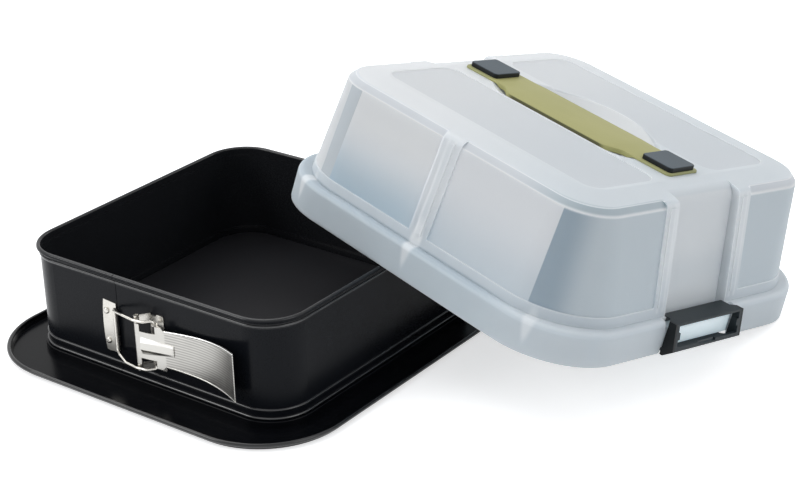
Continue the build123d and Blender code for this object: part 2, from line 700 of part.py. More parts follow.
with BuildPart() as hood_shell:
    add(hood_form(0))
    add(rib_beads.part)
    add(bay_form(0), mode=Mode.SUBTRACT)
    add(well_form(0), mode=Mode.SUBTRACT)
    add(panel_recess.part, mode=Mode.SUBTRACT)
    # two shallow fields in the crown, either side of the strap
    for side in (-1, 1):
        with BuildSketch(Plane.XY.offset(hood_height)):
            with Locations((0, side * (field_near + field_far) / 2)):
                RectangleRounded(field_width, field_far - field_near, field_corner)
        extrude(amount=-field_depth, mode=Mode.SUBTRACT)
    add(hood_hollow.part, mode=Mode.SUBTRACT)
    # ribs inside the skirt that stand on the tray's rolled edge when the hood is on
    rib_spots = [(0, -hood_half, 0, stop_rib_depth), (0, hood_half, 180, stop_rib_depth)]
    for quarter in range(4):
        for lean_side in (-1, 1):
            heading = radians(90 * quarter + 45 + lean_side * (45 - stop_rib_turn))
            bend = hood_half - hood_corner_radius
            rib_spots.append((
                bend * (1 if sin(heading) > 0 else -1) + hood_corner_radius * sin(heading),
                bend * (-1 if cos(heading) > 0 else 1) - hood_corner_radius * cos(heading),
                90 * quarter + 45 + lean_side * (45 - stop_rib_turn), stop_rib_corner_depth))
    for x, y, heading, depth in rib_spots:
        rib_plane = Plane(origin=(x, y, 0), x_dir=(-sin(radians(heading)), cos(radians(heading)), 0),
                          z_dir=(cos(radians(heading)), sin(radians(heading)), 0))
        with BuildSketch(rib_plane):
            with BuildLine():
                Polyline((hood_wall / 2, stop_rib_low), (hood_wall + depth - 1, stop_rib_low),
                         (hood_wall + depth, skirt_height - hood_wall / 2),
                         (hood_wall, skirt_height - hood_wall / 2), close=True)
            make_face()
        extrude(amount=stop_rib_width / 2, both=True)
    # notches that let the clips' toes through the skirt's lower edge
    for side in (-1, 1):
        with Locations((side * hood_half, 0, 0)):
            Box(6 * hood_wall, clip_width + 2 * clip_swing_gap, 10, mode=Mode.SUBTRACT)
    # trunnions for the clips, on the side walls of the bays
    for side in (-1, 1):
        for end in (-1, 1):
            with BuildSketch(Plane(origin=(side * clip_pivot_x, end * (bay_width / 2 + 1),
                                           clip_pivot_z), z_dir=(0, -end, 0))):
                Circle(clip_trunnion_radius)
            extrude(amount=clip_trunnion_length + 1)
    # holes for the studs of the handle caps
    with BuildSketch(Plane.XY.offset(hood_height)):
        with Locations(*stud_spots):
            Circle(stud_radius + stud_clearance)
    extrude(amount=-2 * hood_wall, mode=Mode.SUBTRACT)
hood_shell.part.label = "hood_shell"

# ---- strap handle -------------------------------------------------------------------

with BuildPart() as handle_strap:
    with BuildSketch(Plane.XY.offset(hood_height)):
        RectangleRounded(strap_length, strap_width, strap_corner)
        with BuildLine():
            Polyline((-grip_length / 2 - grip_taper, -strap_width / 2),
                     (-grip_length / 2, -grip_width / 2),
                     (grip_length / 2, -grip_width / 2),
                     (grip_length / 2 + grip_taper, -strap_width / 2),
                     (grip_length / 2 + grip_taper, strap_width / 2),
                     (grip_length / 2, grip_width / 2),
                     (-grip_length / 2, grip_width / 2),
                     (-grip_length / 2 - grip_taper, strap_width / 2),
                     close=True)
        make_face()
        with Locations(*stud_spots):
            SlotCenterToCenter(slot_travel, 2 * (stud_radius + stud_clearance),
                               mode=Mode.SUBTRACT)
    extrude(amount=strap_thickness)
    grip_bends = handle_strap.edges().filter_by(Axis.Z).filter_by(
        lambda edge: abs(abs(edge.center().X) - grip_length / 2) < grip_taper + 1
        and abs(edge.center().Y) > strap_width / 2 - 0.1)
    fillet(grip_bends, 6)
    for side in (-1, 1):
        with BuildSketch(Plane.XZ.offset(-side * (grip_width - grip_lip_width) / 2)):
            with BuildLine():
                Polyline((-grip_length / 2, hood_height + strap_thickness / 2),
                         (grip_length / 2, hood_height + strap_thickness / 2),
                         (grip_length / 2, hood_height),
                         (grip_length / 2 - 2 * grip_lip_drop, hood_height - grip_lip_drop),
                         (2 * grip_lip_drop - grip_length / 2, hood_height - grip_lip_drop),
                         (-grip_length / 2, hood_height), close=True)
            make_face()
        extrude(amount=grip_lip_width / 2, both=True)
    fillet(handle_strap.edges().group_by(Axis.Z)[-1].filter_by(
        lambda edge: abs(edge.center().Y) > strap_width / 2 - 1), 0.6)
handle_strap.part.label = "handle_strap"


def handle_cap(side, name):
    """End cap on the strap, with two studs snapped through the hood."""
    with BuildPart() as cap:
        with BuildSketch(Plane.XY.offset(strap_high)):
            with Locations((side * stud_x, 0)):
                RectangleRounded(cap_length, cap_width, cap_corner)
        extrude(amount=cap_thickness)
        fillet(cap.edges().group_by(Axis.Z)[-1], 0.9)
        studs = [(side * stud_x, end * stud_pitch / 2) for end in (-1, 1)]
        with BuildSketch(Plane.XY.offset(strap_high)):
            with Locations(*studs):
                Circle(stud_radius)
        extrude(amount=-(strap_high - hood_height + hood_wall + stud_head_height))
        with BuildSketch(Plane.XY.offset(hood_height - hood_wall - 0.05)):
            with Locations(*studs):
                Circle(stud_head_radius)
        extrude(amount=-stud_head_height)
    cap.part.label = name
    return cap


handle_cap_left = handle_cap(-1, "handle_cap_left")
handle_cap_right = handle_cap(1, "handle_cap_right")

# ---- side clips ---------------------------------------------------------------------

clip_under_z = clip_pivot_z + 0.2
clip_inner_x = hood_half + clip_gap


def side_clip(side, name):
    """Frame that swings down over the skirt and hooks its toe under the tray's rim."""
    with BuildPart() as clip:
        with BuildSketch(Plane.XZ):
            with BuildLine():
                Polyline(
                    (clip_pivot_x, clip_pivot_z + clip_barrel_radius),
                    (clip_front_top_x, clip_front_top_z),
                    (clip_front_foot_x, clip_front_foot_z),
                    (clip_heel_x, clip_toe_low),
                    (clip_toe_x, clip_toe_low),
                    (clip_toe_x, clip_toe_low + clip_toe_thickness),
                    (clip_inner_x, clip_toe_low + clip_toe_thickness),
                    (clip_inner_x, clip_under_z),
                    (clip_pivot_x, clip_under_z),
                    close=True)
            make_face()
        extrude(amount=clip_width / 2, both=True)
        # plan outline: the top plate narrows towards the hinge
        with BuildSketch(Plane.XY.offset(clip_toe_low)):
            with BuildLine():
                Polyline(
                    (clip_pivot_x, -clip_back_width / 2), (clip_flare_x, -clip_back_width / 2),
                    (clip_inner_x, -clip_width / 2), (clip_front_foot_x, -clip_width / 2),
                    (clip_front_foot_x, clip_width / 2), (clip_inner_x, clip_width / 2),
                    (clip_flare_x, clip_back_width / 2), (clip_pivot_x, clip_back_width / 2),
                    close=True)
            make_face()
        extrude(amount=2 * clip_front_top_z, mode=Mode.INTERSECT)
        # hollow behind the front, open towards the skirt
        with BuildSketch(Plane.XZ):
            with BuildLine():
                Polyline(
                    (clip_inner_x - 0.1, clip_front_top_z - clip_sheet - 0.3),
                    (clip_front_top_x - clip_sheet, clip_front_top_z - clip_sheet - 0.1),
                    (clip_front_foot_x - clip_sheet, clip_front_foot_z + 0.6),
                    (clip_inner_x - 0.1, clip_toe_low + clip_toe_thickness + 0.6),
                    close=True)
            make_face()
        extrude(amount=clip_width / 2 - clip_sheet, both=True, mode=Mode.SUBTRACT)
        # window and the notch in its lower edge
        window_mid = (clip_window_low + clip_window_high) / 2
        with Locations((clip_front_top_x, 0, window_mid)):
            Box(30, clip_window_width, clip_window_high - clip_window_low, mode=Mode.SUBTRACT)
        with Locations((clip_front_foot_x, 0, clip_window_low)):
            Box(2 * clip_sheet + 4, clip_notch_width, 2 * clip_notch_drop, mode=Mode.SUBTRACT)
        # small teeth on the window's ends
        with BuildSketch(Plane.XZ):
            with BuildLine():
                lean_x = clip_front_foot_x - clip_front_top_x
                lean_z = clip_front_top_z - clip_front_foot_z
                tooth_x = clip_front_top_x + lean_x * (clip_front_top_z - window_mid) / lean_z
                tooth_shift = lean_x * clip_tooth_height / lean_z / 2
                Polyline((tooth_x - tooth_shift, window_mid + clip_tooth_height / 2),
                         (tooth_x + tooth_shift, window_mid - clip_tooth_height / 2),
                         (tooth_x + tooth_shift - clip_sheet, window_mid - clip_tooth_height / 2),
                         (tooth_x - tooth_shift - clip_sheet, window_mid + clip_tooth_height / 2),
                         close=True)
            make_face()
        extrude(amount=clip_window_width / 2 + 0.5, both=True)
        with Locations((tooth_x, 0, window_mid)):
            Box(30, clip_window_width - 2 * clip_tooth_width, clip_tooth_height + 0.2,
                mode=Mode.SUBTRACT)
        with BuildSketch(Plane.XZ):
            with Locations((clip_pivot_x, clip_pivot_z)):
                Circle(clip_barrel_radius)
        extrude(amount=clip_back_width / 2, both=True)
        for end in (-1, 1):
            with BuildSketch(Plane(origin=(clip_pivot_x, end * clip_width / 2,
                                           clip_pivot_z), z_dir=(0, -end, 0))):
                Circle(clip_trunnion_radius + pin_fit)
            extrude(amount=(clip_width - clip_back_width) / 2 + clip_trunnion_length,
                    mode=Mode.SUBTRACT)
    clip.part = clip.part if side > 0 else Rot(0, 0, 180) * clip.part
    clip.part.label = name
    return clip


side_clip_right = side_clip(1, "side_clip_right")
side_clip_left = side_clip(-1, "side_clip_left")

# ---- export -------------------------------------------------------------------------

tin_pieces = [base_tray, ring_wall, catch_plate, catch_plate_rivets, lever_bracket,
              lever_bracket_rivets, lever_pivot_pin, clasp_lever, wire_bail]
hood_pieces = [hood_shell, handle_strap, handle_cap_left, handle_cap_right,
               side_clip_left, side_clip_right]

for piece in tin_pieces:
    export_step(piece.part, f"parts/{piece.part.label}.step")
for piece in hood_pieces:
    leaning = lean * piece.part
    leaning.label = piece.part.label
    export_step(leaning, f"parts/{piece.part.label}.step")
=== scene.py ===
import json
import math

import bmesh
import bpy
from mathutils import Matrix, Vector


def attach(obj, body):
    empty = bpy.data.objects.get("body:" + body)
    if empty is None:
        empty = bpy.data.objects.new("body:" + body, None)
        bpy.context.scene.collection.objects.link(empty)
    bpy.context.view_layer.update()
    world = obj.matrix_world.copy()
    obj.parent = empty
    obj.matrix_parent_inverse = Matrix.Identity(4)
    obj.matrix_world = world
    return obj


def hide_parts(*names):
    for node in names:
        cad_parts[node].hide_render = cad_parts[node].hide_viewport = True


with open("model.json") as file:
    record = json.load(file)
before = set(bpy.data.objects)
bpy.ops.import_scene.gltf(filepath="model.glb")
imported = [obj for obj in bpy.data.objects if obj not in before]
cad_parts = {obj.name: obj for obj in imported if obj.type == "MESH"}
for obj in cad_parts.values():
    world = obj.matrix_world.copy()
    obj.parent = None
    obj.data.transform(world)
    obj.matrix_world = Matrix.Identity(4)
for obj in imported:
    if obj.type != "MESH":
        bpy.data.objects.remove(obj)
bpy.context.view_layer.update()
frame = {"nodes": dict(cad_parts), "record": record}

# ---- sizes, in metres ---------------------------------------------------------------
# The hood and its strap are measured along the hood's own axes: x towards the right clip,
# y towards the back and z up from its lower edge. A plan is the half length, half width
# and corner radius of a rounded rectangle.

MM = 0.001

# hood
clip_hinge_height = 22 * MM     # of the clips' hinge lines
skirt_top = 24.6 * MM
panel_low = 32 * MM
panel_high = 101 * MM
band_top = 106 * MM             # of the sloped band above the panels
panel_start_x = 9 * MM          # beside the middle rib
panel_start_y = 50 * MM         # beside the clip bay
corner_start = 104.4 * MM       # of the painted shade on the panels at the right corners
left_strip = (93 * MM, 106 * MM)                # of the strip of painted shade at the left corners
strip_lean = 0.029              # how far that strip moves outwards, per distance down
rib_bead_half = 3 * MM          # from a rib's middle to the beads along its edges
rib_bead_width = 2.4 * MM       # over which each bead's painted highlight fades out
bay_rib_middle = 43 * MM        # of the rib beside the clip bay
bay_half = 36 * MM
bay_start = (100 * MM, 110 * MM)                # from the hood's middle, where a bay fades in
edge_line = 0.5 * MM            # half width of the painted highlight lines along moulded edges
crown_start = 104 * MM
crown_field = (103 * MM, 36 * MM, 12 * MM)      # plan
field_middle = 67 * MM          # of each field, from the strap's middle
well_bottom = 98 * MM
well_front = (48 * MM, 30 * MM, 34 / 27)        # straight half length, reach, slant beside it
well_back = (51 * MM, 47 / 75 ** 2 / MM)        # reach and bow
stop_ribs = ((0, 152.6 * MM, 0), (114.7 * MM, 148.7 * MM, 21))      # x, y, turn in degrees
stop_rib_slope = 5.5 / 24.6     # growth of their half width with height

# clips and handle caps
clip_side = 38.3 * MM           # inner face of the clips' end walls
cap_middle = 86.25 * MM         # of each cap, from the strap's middle
cap_plan = (13.75 * MM, 14.6 * MM, 3 * MM)

# strap
strap_seat = 109.5 * MM         # of the crown under the strap
strap_under = 0.15 * MM         # from the seat up to the strap's underside
strap_top = 111.1 * MM
strap_end = 101.8 * MM
strap_half = 17.8 * MM
strap_corner = 4 * MM
strap_round = 0.7 * MM          # rounding of the upper edges
strap_spacing = 2 * MM          # of the sections along the strap
grip_near = 26.4 * MM           # the grip's front edge, from the strap's middle
grip_far = 18.8 * MM            # its back edge
grip_half = 46 * MM             # half length of the grip's full width
grip_flare = 15 * MM            # length over which it widens
lip_width = 1.8 * MM
lip_drop = 1.9 * MM             # of the lips below the seat
lip_half = 68 * MM              # half length of the lips
lip_start = 4 * MM              # length over which they begin

# tin
ring_plan = (120.8 * MM, 120.8 * MM, 30.8 * MM)
ring_shift = 7.6 * MM           # of the ring's middle towards the back
ring_foot = (7.5 * MM, 9 * MM)
ring_beads = (77.5 * MM, 13.4 * MM)             # heights
ring_bead_half = 2.2 * MM
ring_rim = (82.4 * MM, 83.4 * MM)
tray_plan = (149.9 * MM, 149.9 * MM, 66 * MM)

# clasp
lever_middle = 41.1 * MM        # height of the clasp's middle
lever_neck = (22.5 * MM, 14.4 * MM)             # where the grip starts, and its half width there
lever_flare = 4.6 / 70.5        # growth of the half width along the grip
lever_hem = 1.3 * MM
lever_line_pitch = 2.0 * MM
lever_rib = (-18.4 * MM, 8 * MM, 6.3 * MM)      # start, end, and half width at the start
lever_rib_taper = 2.3 / 26.4
lever_rib_flat = 2.8 * MM       # half width of the rib's flat back
lever_rib_fade = 14 * MM        # length over which the painted shadow under it fades out

# ---- the hood's own axes, from the hinges of its clips ------------------------------

joints = {joint["name"]: joint for joint in frame["record"]["behaviour"]["joints"]}
right_hinge = Vector(joints["clip_right_open"]["pos_m"])
left_hinge = Vector(joints["clip_left_open"]["pos_m"])
hood_x = (right_hinge - left_hinge).normalized()
hood_y = Vector(joints["clip_left_open"]["axis"]).normalized()
hood_z = hood_x.cross(hood_y)
hood_origin = (right_hinge + left_hinge) / 2 - clip_hinge_height * hood_z


# ---- strap --------------------------------------------------------------------------

upper_bend = (0, 30, 60, 90)                    # turns of the points that round an upper edge
corner_bend = (0, 15, 30, 45, 60, 75, 86)       # turns of the sections at a rounded corner
sharp_edge = math.radians(40)


def cos_of(degrees):
    return math.cos(math.radians(degrees))


def sin_of(degrees):
    return math.sin(math.radians(degrees))


def ease(value):
    """0 below 0, 1 above 1, smooth in between."""
    value = min(max(value, 0.0), 1.0)
    return value * value * (3 - 2 * value)


def strap_section(x):
    """Outline of the strap across its length at x, as y and z, front edge first."""
    grip = ease((grip_half + grip_flare - abs(x)) / grip_flare)
    into_corner = max(abs(x) - (strap_end - strap_corner), 0.0)
    tuck = strap_corner - math.sqrt(max(strap_corner ** 2 - into_corner ** 2, 0.0))
    front = -strap_half - grip * (grip_near - strap_half) + tuck
    back = strap_half + grip * (grip_far - strap_half) - tuck
    foot = strap_seat - lip_drop * ease((lip_half - abs(x)) / lip_start)
    under = strap_seat + strap_under
    bend = [(strap_round * (1 - cos_of(turn)), strap_top - strap_round * (1 - sin_of(turn)))
            for turn in upper_bend]
    return ([(front, foot)]
            + [(front + inwards, z) for inwards, z in bend]
            + [(back - inwards, z) for inwards, z in reversed(bend)]
            + [(back, foot), (back - lip_width, foot), (back - lip_width, under),
               (front + lip_width, under), (front + lip_width, foot)])


def strap_stations():
    """Where the strap's sections stand along it, closer together at its rounded corners."""
    evenly = int((strap_end - strap_corner) / strap_spacing) + 1
    right_half = [count * strap_spacing for count in range(evenly)]
    right_half += [strap_end - strap_corner * (1 - sin_of(turn)) for turn in corner_bend]
    return sorted({side * x for x in right_half for side in (-1, 1)})


def carrying_strap():
    """The strap as one lofted strip: rounded edges, and lips turned down along its grip."""
    shape = bmesh.new()
    sections = [[shape.verts.new(hood_origin + x * hood_x + y * hood_y + z * hood_z)
                 for y, z in strap_section(x)]
                for x in strap_stations()]
    count = len(sections[0])
    for first, second in zip(sections, sections[1:]):
        for here in range(count):
            after = (here + 1) % count
            shape.faces.new((first[here], first[after], second[after], second[here]))
    shape.faces.new(sections[0])
    shape.faces.new(reversed(sections[-1]))
    bmesh.ops.recalc_face_normals(shape, faces=shape.faces)
    for edge in shape.edges:
        edge.smooth = edge.calc_face_angle(0.0) < sharp_edge
    for face in shape.faces:
        face.smooth = True
    mesh = bpy.data.meshes.new("strap")
    shape.to_mesh(mesh)
    shape.free()
    strap = bpy.data.objects.new("strap", mesh)
    bpy.context.collection.objects.link(strap)
    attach(strap, "hood")
    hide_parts("handle_strap")
    return strap


# ---- how materials are written ------------------------------------------------------

class Reading:
    """A number that varies over a surface. Python's operators add its Math nodes."""

    def __init__(self, finish, socket):
        self.finish = finish
        self.socket = socket

    def maths(self, operation, *values):
        return self.finish.node("ShaderNodeMath", {"operation": operation}, *values)

    def __add__(self, other):
        return self.maths("ADD", self, other)

    def __radd__(self, other):
        return self.maths("ADD", other, self)

    def __sub__(self, other):
        return self.maths("SUBTRACT", self, other)

    def __rsub__(self, other):
        return self.maths("SUBTRACT", other, self)

    def __mul__(self, other):
        return self.maths("MULTIPLY", self, other)

    def __rmul__(self, other):
        return self.maths("MULTIPLY", other, self)

    def __pow__(self, other):
        return self.maths("POWER", self, other)

    def __neg__(self):
        return self * -1

    def __abs__(self):
        return self.maths("ABSOLUTE", self)

    def at_most(self, other):
        return self.maths("MINIMUM", self, other)

    def at_least(self, other):
        return self.maths("MAXIMUM", self, other)

    def sine(self):
        return self.maths("SINE", self)

    def rise(self, low, high):
        """0 below low, 1 above high, smooth in between."""
        settings = {"interpolation_type": "SMOOTHSTEP"}
        return self.finish.node("ShaderNodeMapRange", settings, self, low, high)

    def fall(self, low, high):
        """1 below low, 0 above high, smooth in between."""
        return 1 - self.rise(low, high)

    def step(self, edge, soft):
        """0 before the edge and 1 after it, blurred by soft on either side."""
        return self.rise(edge - soft, edge + soft)

    def band(self, low, high, soft):
        """1 between low and high, 0 outside, with soft edges."""
        return self.step(low, soft) * (1 - self.step(high, soft))

    def line(self, middle, half):
        """1 along the middle, fading out over half to either side."""
        return abs(self - middle).fall(0, half)


class Finish:
    """One node tree with a main shader, and the method that makes every other node."""

    def __init__(self, block, main="Principled BSDF", **constants):
        block.use_nodes = True
        self.block = block
        self.tree = block.node_tree
        self.shader = self.tree.nodes[main]
        for socket, value in constants.items():
            self.plug(self.shader.inputs[socket.replace("_", " ")], value)

    def plug(self, socket, value):
        if isinstance(value, Reading):
            value = value.socket
        if isinstance(value, bpy.types.NodeSocket):
            self.tree.links.new(value, socket)
        elif socket.type == "RGBA" and len(value) == 3:
            socket.default_value = (*value, 1.0)
        else:
            socket.default_value = value

    def node(self, kind, settings, *values, out=None, **named):
        """Adds a node: its settings first, then its sockets in order or by name."""
        node = self.tree.nodes.new(kind)
        for setting, value in settings.items():
            setattr(node, setting, value)
        for socket, value in zip([s for s in node.inputs if s.enabled], values):
            self.plug(socket, value)
        for socket, value in named.items():
            self.plug(node.inputs[socket.replace("_", " ")], value)
        result = node.outputs[out] if out else [s for s in node.outputs if s.enabled][0]
        return Reading(self, result) if result.type == "VALUE" else result

    def place(self):
        """Position on the resting object, in metres."""
        return self.node("ShaderNodeTexCoord", {}, out="Object")

    def vector(self, operation, *values, out=None):
        return self.node("ShaderNodeVectorMath", {"operation": operation}, *values, out=out)

    def along(self, place, axis, origin=(0, 0, 0)):
        """Distance of a place from origin along an axis."""
        shifted = self.vector("SUBTRACT", place, tuple(origin))
        return self.vector("DOT_PRODUCT", shifted, tuple(axis), out="Value")

    def along_tin(self, place):
        """x, y and z of a place on the tin."""
        return [self.along(place, axis) for axis in ((1, 0, 0), (0, 1, 0), (0, 0, 1))]

    def along_hood(self, place):
        """x, y and z of a place, along the hood's own axes."""
        return [self.along(place, axis, hood_origin) for axis in (hood_x, hood_y, hood_z)]

    def outside(self, x, y, plan):
        """Distance outside a rounded rectangle."""
        half_x, half_y, corner = plan
        beyond = self.node("ShaderNodeCombineXYZ", {},
                           (abs(x) - (half_x - corner)).at_least(0),
                           (abs(y) - (half_y - corner)).at_least(0))
        return self.vector("LENGTH", beyond, out="Value") - corner

    def noise(self, place, scale, detail, stretch=None):
        if stretch:
            place = self.vector("MULTIPLY", place, stretch)
        return self.node("ShaderNodeTexNoise", {}, Vector=place, Scale=scale, Detail=detail,
                         Roughness=0.5, out="Fac")

    def blend(self, share, first, second):
        """Colour that goes from first to second as share goes from 0 to 1."""
        return self.node("ShaderNodeMix", {"data_type": "RGBA"}, share, first, second)

    def plainly_seen(self):
        """1 where the camera sees a surface, also in a mirror or through glass."""
        camera, mirror, glass = (self.node("ShaderNodeLightPath", {}, out=f"Is {kind} Ray")
                                 for kind in ("Camera", "Glossy", "Transmission"))
        return (camera + mirror + glass).at_most(1)

    def colour(self, value):
        self.plug(self.shader.inputs["Base Color"], value)

    def glow(self, value):
        self.plug(self.shader.inputs["Emission Color"], value)

    def coat(self, value):
        self.plug(self.shader.inputs["Coat Weight"], value)

    def roughness(self, value):
        self.plug(self.shader.inputs["Roughness"], value)

    def relief(self, height, depth):
        """Bump of the given depth in metres, from a height between 0 and 1."""
        bump = self.node("ShaderNodeBump", {}, Strength=1.0, Distance=depth, Height=height)
        self.plug(self.shader.inputs["Normal"], bump)


white = (1.0, 1.0, 1.0)
black = (0.0, 0.0, 0.0)


def surface(name, **constants):
    return Finish(bpy.data.materials.new(name), **constants)


def shade(colour, share):
    return tuple(share * value for value in colour)


# ---- tin ----------------------------------------------------------------------------

def nonstick_coating(name, tone, inner_tone, grain):
    """Black satin coating: fine sprayed grain, faint clouds in its gloss, paler inside."""
    finish = surface(name, Specular_IOR_Level=0.09, Coat_IOR=1.75, Coat_Roughness=0.18)
    place = finish.place()
    x, y, z = finish.along_tin(place)
    inside = finish.outside(x, y - ring_shift, ring_plan).fall(-0.7 * MM, -0.2 * MM)
    speckle = finish.noise(place, 1500, 3)
    cloud = finish.noise(place, 11, 3)
    mottle = 0.7 * speckle + 0.3 * cloud
    outer, inner = (finish.blend(mottle, shade(colour, 0.6), shade(colour, 1.5))
                    for colour in (tone, inner_tone))
    finish.colour(finish.blend(inside, outer, inner))
    finish.relief(speckle, grain)
    uneven = 0.08 * cloud + 0.06 * speckle
    return finish, (x, y, z), inside, uneven


def ring_coating():
    """The ring's coating, polished along its rolled edges and beads."""
    finish, (*_, z), _, uneven = nonstick_coating(
        "ring_coating", (0.0052, 0.0060, 0.0080), (0.0125, 0.0132, 0.0150), 0.012 * MM)
    polished = (0.35 * z.rise(*ring_rim)).at_least(z.fall(*ring_foot))
    for height in ring_beads:
        polished = polished.at_least(0.75 * z.line(height, ring_bead_half))
    finish.coat(polished)
    finish.roughness(0.20 + uneven)
    return finish.block


def tray_coating():
    """The tray's coating: glossy along its rim, softer where the cake stands."""
    finish, (x, y, _), standing, uneven = nonstick_coating(
        "tray_coating", (0.0032, 0.0036, 0.0048), (0.0145, 0.0145, 0.0165), 0.015 * MM)
    rim = finish.outside(x, y, tray_plan).rise(-4 * MM, -2.5 * MM)
    finish.coat(0.5 * rim)
    finish.roughness(0.15 + uneven + 0.18 * standing)
    return finish.block


# ---- clasp --------------------------------------------------------------------------

def bright_plating(name, polish):
    """Bright nickel plate with faint rolling marks."""
    finish = surface(name, Metallic=1.0)
    place = finish.place()
    streaks = finish.noise(place, 1.0, 3, stretch=(60, 60, 900))
    cloud = finish.noise(place, 70, 2)
    finish.colour(finish.blend(cloud, (0.50, 0.485, 0.45), (0.70, 0.68, 0.635)))
    finish.roughness(polish + 0.12 * streaks + 0.06 * cloud)
    finish.relief(streaks, 0.02 * MM)
    return finish.block


def painted_rib_light_and_shade(finish, height, reach, tone):
    """Painted light and shade on the lever's rib: a painted highlight above, painted shade below,
    and a painted shadow under it that fades out.
    """
    start, end, first_half = lever_rib
    flat_tone, painted_light_above = (0.56, 0.55, 0.52), (0.86, 0.85, 0.83)
    painted_shade_below, painted_shadow_tone = (0.25, 0.245, 0.23), (0.05, 0.05, 0.047)
    along_rib = reach.band(start, end, 1.5 * MM)
    fading = reach.fall(end - lever_rib_fade, end)
    half = first_half - (reach - start) * lever_rib_taper
    flat = along_rib * abs(height).fall(half, half + 0.5 * MM)
    side = along_rib * (abs(height) - half).fall(-0.2 * MM, 0.4 * MM)
    side = side * abs(height).step(lever_rib_flat, 0.3 * MM)
    # painted highlight on the rib's upper side, painted shade on its lower side
    upper = side * height.rise(0, 1 * MM)
    lower = side * (-height).rise(0, 1 * MM) * (0.3 + 0.6 * fading)
    # painted shadow under the rib
    under = along_rib * fading * (-height).line(half + 0.3 * MM, 0.7 * MM)
    tone = finish.blend(flat, tone, flat_tone)
    tone = finish.blend(upper, tone, painted_light_above)
    tone = finish.blend(lower, tone, painted_shade_below)
    return finish.blend(0.8 * under, tone, painted_shadow_tone)


def lever_plating():
    """The lever's plate: fine lines pressed along the grip with painted shade in them, a painted
    highlight on the upper hem, a ribbed neck.
    """
    finish = surface("lever_plating", Metallic=1.0)
    place = finish.place()
    grip_start, first_half = lever_neck
    painted_line_shade, painted_hem_highlight = (0.16, 0.155, 0.15), (0.90, 0.89, 0.87)
    height = finish.along(place, (0, 0, 1), (0, 0, lever_middle))
    reach = finish.along(place, (1, 0, 0), (grip_start, 0, 0))
    grip = reach.step(1 * MM, 0.8 * MM)
    inward = first_half + reach * lever_flare - abs(height)
    hem = grip * inward.fall(lever_hem, lever_hem + 0.3 * MM)
    ridges = (height * (2 * math.pi / lever_line_pitch)).sine() * 0.5 + 0.5
    cloud = finish.noise(place, 90, 2)
    tone = finish.blend(cloud, (0.47, 0.46, 0.435), (0.58, 0.57, 0.54))
    # painted shade in the pressed lines along the grip
    tone = finish.blend(0.6 * (grip * (1 - hem) * (1 - ridges)), tone, painted_line_shade)
    tone = painted_rib_light_and_shade(finish, height, reach, tone)
    # painted highlight on the upper hem
    finish.colour(finish.blend(hem * height.rise(0, 1 * MM), tone, painted_hem_highlight))
    finish.roughness(0.26 + 0.10 * cloud)
    roll = 1 - ((inward - lever_hem / 2) * (2 / lever_hem)) ** 2
    finish.relief(hem * roll, 0.3 * MM)
    return finish.block


# ---- hood ---------------------------------------------------------------------------

def painted_stop_rib_light(finish, x, y, z, stop_rib):
    """Painted light: the paler wedge where a stop rib stands behind the skirt, wide above,
    pointed below.
    """
    at_x, at_y, turn = stop_rib
    from_rib = finish.node("ShaderNodeCombineXYZ", {}, abs(x) - at_x, abs(y) - at_y, 0.0)
    across = abs(finish.along(from_rib, (cos_of(turn), -sin_of(turn), 0)))
    near = finish.vector("LENGTH", from_rib, out="Value").fall(9 * MM, 11 * MM)
    wedge = (across - z * stop_rib_slope).fall(-2.8 * MM, 1.2 * MM)
    return near * wedge * z.rise(3 * MM, 14 * MM)


def painted_light_on_walls_and_crown(finish, x, y, z):
    """Plain walls with painted light above and painted shade below, and a crown with painted
    light, palest on its left.
    """
    # painted light above and painted shade below on the walls
    wall = finish.blend(z.rise(panel_low, 70 * MM), (0.55, 0.60, 0.64), (0.69, 0.725, 0.75))
    # painted light on the crown, palest on its left
    crown = finish.blend((x + y * 0.4).rise(-130 * MM, 70 * MM), (0.79, 0.815, 0.83),
                         (0.625, 0.675, 0.71))
    return finish.blend(z.step(crown_start, 1 * MM), wall, crown)


def skirt_painted_light_and_shade(finish, x, y, z, bay, tone):
    """Painted shade on the skirt and its ledge, and painted light where the stop ribs show
    through.
    """
    # painted shade on the skirt, paler to the right
    skirt_painted_shade = finish.blend(x.rise(60 * MM, 140 * MM), (0.505, 0.57, 0.615),
                              (0.575, 0.63, 0.67))
    below = z.fall(skirt_top - 0.5 * MM, skirt_top + 2 * MM)
    tone = finish.blend(below * (1 - bay), tone, skirt_painted_shade)
    # painted shade on the ledge, which faces up, darker to the left
    ledge_painted_shade = finish.blend(x.rise(60 * MM, 115 * MM), (0.36, 0.42, 0.47),
                              (0.66, 0.705, 0.735))
    ledge = z.band(skirt_top - 1.5 * MM, skirt_top + 1 * MM, 0.8 * MM) * (1 - bay)
    tone = finish.blend(0.55 * ledge, tone, ledge_painted_shade)
    # painted light where the stop ribs stand behind the skirt
    for stop_rib in stop_ribs:
        seen = painted_stop_rib_light(finish, x, y, z, stop_rib)
        tone = finish.blend(0.75 * seen, tone, (0.78, 0.81, 0.83))
    return tone


